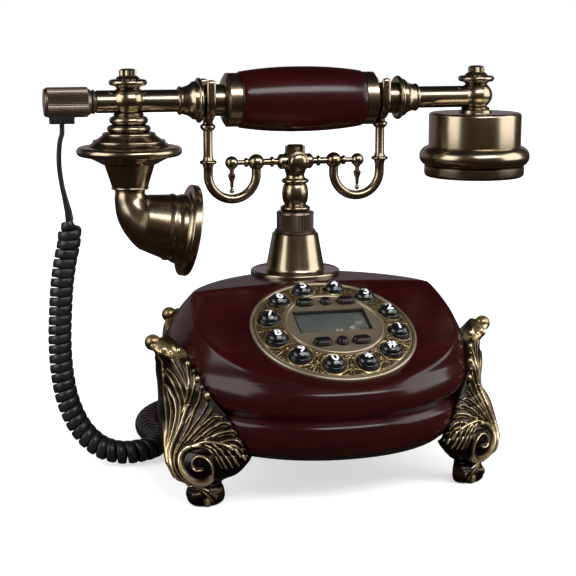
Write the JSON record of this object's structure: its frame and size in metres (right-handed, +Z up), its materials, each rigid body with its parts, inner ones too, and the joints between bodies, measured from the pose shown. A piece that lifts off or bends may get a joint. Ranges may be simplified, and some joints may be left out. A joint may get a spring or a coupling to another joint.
{
  "type": "cradle telephone",
  "caption": "Antique-style cradle telephone: turned handset with horn mouthpiece on a forked sprung cradle, push-button dial on a lacquered wood base with scrolled legs.",
  "frame": {"origin": "on the table under the middle of the telephone's overall box, cord left out", "axes": "+X to the right along the handset towards the earpiece, +Y to the back, +Z up; the dial faces -Y"},
  "size_m": [0.2564, 0.1907, 0.1992],
  "materials": {
    "wood": "wine-red lacquer, high gloss",
    "brass": "antique brass, dark in the recesses, satin",
    "brass_legs": "antique brass, cast, rubbed bright on the high places",
    "brass_dial": "antique brass, cast",
    "black_keys": "black, gloss",
    "clear_window": "clear acrylic",
    "display": "grey-green display",
    "rubber": "matt",
    "board": "green board",
    "plastic_dark": "black, matt",
    "plastic_black": "black, satin",
    "capsule": "grey",
    "steel": "bright",
    "cord": "black, satin"
  },
  "bodies": {
    "base": {"body_shell": "wood", "base_plate": "plastic_dark", "fasteners": "steel", "leg_front_left": "brass_legs", "leg_front_right": "brass_legs", "leg_back_left": "brass_legs", "leg_back_right": "brass_legs", "dial_plate": "brass_dial", "lcd_window": "clear_window", "lcd_panel": "display", "keypad_mat": "rubber", "circuit_board": "board", "ringer_speaker": "plastic_dark", "hook_switch": "plastic_dark", "line_jack": "plastic_dark", "cord_jack": "plastic_dark", "stem_flange": "brass", "stem_cone": "brass", "stem_collar": "brass", "return_spring": "steel", "handset_cord": "cord", "cord_plug_base": "plastic_black"},
    "cradle": {"cradle_post": "brass", "cradle_hub": "brass", "hook_left": "brass", "hook_right": "brass"},
    "handset": {"grip": "wood", "neck_left": "brass", "neck_right": "brass", "end_knob": "brass", "handset_hubs": "brass", "mouth_bell": "brass", "mouth_cup": "brass", "horn_elbow": "brass", "horn_rim": "brass", "mouth_grille": "brass", "microphone": "capsule", "ear_cup": "brass", "ear_cap": "brass", "ear_speaker": "capsule", "cord_plug_top": "plastic_black"},
    "key_1_body": {"key_1": "black_keys"},
    "key_2_body": {"key_2": "black_keys"},
    "key_3_body": {"key_3": "black_keys"},
    "key_4_body": {"key_4": "black_keys"},
    "key_5_body": {"key_5": "black_keys"},
    "key_6_body": {"key_6": "black_keys"},
    "key_7_body": {"key_7": "black_keys"},
    "key_8_body": {"key_8": "black_keys"},
    "key_9_body": {"key_9": "black_keys"},
    "key_0_body": {"key_0": "black_keys"},
    "key_star_body": {"key_star": "black_keys"},
    "key_hash_body": {"key_hash": "black_keys"},
    "function_key_1_body": {"function_key_1": "black_keys"},
    "function_key_2_body": {"function_key_2": "black_keys"},
    "function_key_3_body": {"function_key_3": "black_keys"},
    "function_key_4_body": {"function_key_4": "black_keys"},
    "function_key_5_body": {"function_key_5": "black_keys"},
    "function_key_6_body": {"function_key_6": "black_keys"}
  },
  "joints": [
    {"name": "key_1_press", "type": "slide", "parent": "base", "child": "key_1_body", "axis": [0, 0.3939, -0.9191], "range_m": [0, 0.0015], "stiffness_N_per_m": 250, "springref_m": -0.001},
    {"name": "key_2_press", "type": "slide", "parent": "base", "child": "key_2_body", "axis": [0, 0.3939, -0.9191], "range_m": [0, 0.0015], "stiffness_N_per_m": 250, "springref_m": -0.001},
    {"name": "key_3_press", "type": "slide", "parent": "base", "child": "key_3_body", "axis": [0, 0.3939, -0.9191], "range_m": [0, 0.0015], "stiffness_N_per_m": 250, "springref_m": -0.001},
    {"name": "key_4_press", "type": "slide", "parent": "base", "child": "key_4_body", "axis": [0, 0.3939, -0.9191], "range_m": [0, 0.0015], "stiffness_N_per_m": 250, "springref_m": -0.001},
    {"name": "key_5_press", "type": "slide", "parent": "base", "child": "key_5_body", "axis": [0, 0.3939, -0.9191], "range_m": [0, 0.0015], "stiffness_N_per_m": 250, "springref_m": -0.001},
    {"name": "key_6_press", "type": "slide", "parent": "base", "child": "key_6_body", "axis": [0, 0.3939, -0.9191], "range_m": [0, 0.0015], "stiffness_N_per_m": 250, "springref_m": -0.001},
    {"name": "key_7_press", "type": "slide", "parent": "base", "child": "key_7_body", "axis": [0, 0.3939, -0.9191], "range_m": [0, 0.0015], "stiffness_N_per_m": 250, "springref_m": -0.001},
    {"name": "key_8_press", "type": "slide", "parent": "base", "child": "key_8_body", "axis": [0, 0.3939, -0.9191], "range_m": [0, 0.0015], "stiffness_N_per_m": 250, "springref_m": -0.001},
    {"name": "key_9_press", "type": "slide", "parent": "base", "child": "key_9_body", "axis": [0, 0.3939, -0.9191], "range_m": [0, 0.0015], "stiffness_N_per_m": 250, "springref_m": -0.001},
    {"name": "key_0_press", "type": "slide", "parent": "base", "child": "key_0_body", "axis": [0, 0.3939, -0.9191], "range_m": [0, 0.0015], "stiffness_N_per_m": 250, "springref_m": -0.001},
    {"name": "key_star_press", "type": "slide", "parent": "base", "child": "key_star_body", "axis": [0, 0.3939, -0.9191], "range_m": [0, 0.0015], "stiffness_N_per_m": 250, "springref_m": -0.001},
    {"name": "key_hash_press", "type": "slide", "parent": "base", "child": "key_hash_body", "axis": [0, 0.3939, -0.9191], "range_m": [0, 0.0015], "stiffness_N_per_m": 250, "springref_m": -0.001},
    {"name": "function_key_1_press", "type": "slide", "parent": "base", "child": "function_key_1_body", "axis": [0, 0.3939, -0.9191], "range_m": [0, 0.0015], "stiffness_N_per_m": 250, "springref_m": -0.001},
    {"name": "function_key_2_press", "type": "slide", "parent": "base", "child": "function_key_2_body", "axis": [0, 0.3939, -0.9191], "range_m": [0, 0.0015], "stiffness_N_per_m": 250, "springref_m": -0.001},
    {"name": "function_key_3_press", "type": "slide", "parent": "base", "child": "function_key_3_body", "axis": [0, 0.3939, -0.9191], "range_m": [0, 0.0015], "stiffness_N_per_m": 250, "springref_m": -0.001},
    {"name": "function_key_4_press", "type": "slide", "parent": "base", "child": "function_key_4_body", "axis": [0, 0.3939, -0.9191], "range_m": [0, 0.0015], "stiffness_N_per_m": 250, "springref_m": -0.001},
    {"name": "function_key_5_press", "type": "slide", "parent": "base", "child": "function_key_5_body", "axis": [0, 0.3939, -0.9191], "range_m": [0, 0.0015], "stiffness_N_per_m": 250, "springref_m": -0.001},
    {"name": "function_key_6_press", "type": "slide", "parent": "base", "child": "function_key_6_body", "axis": [0, 0.3939, -0.9191], "range_m": [0, 0.0015], "stiffness_N_per_m": 250, "springref_m": -0.001},
    {"name": "cradle_lift", "type": "slide", "parent": "base", "child": "cradle", "axis": [0, 0, 1], "range_m": [0, 0.004], "stiffness_N_per_m": 120, "springref_m": 0.02, "deforming": ["return_spring"]},
    {"name": "handset_lift", "type": "slide", "parent": "cradle", "child": "handset", "axis": [0, 0, 1], "range_m": [0, 0.08], "deforming": ["handset_cord"]}
  ]
}
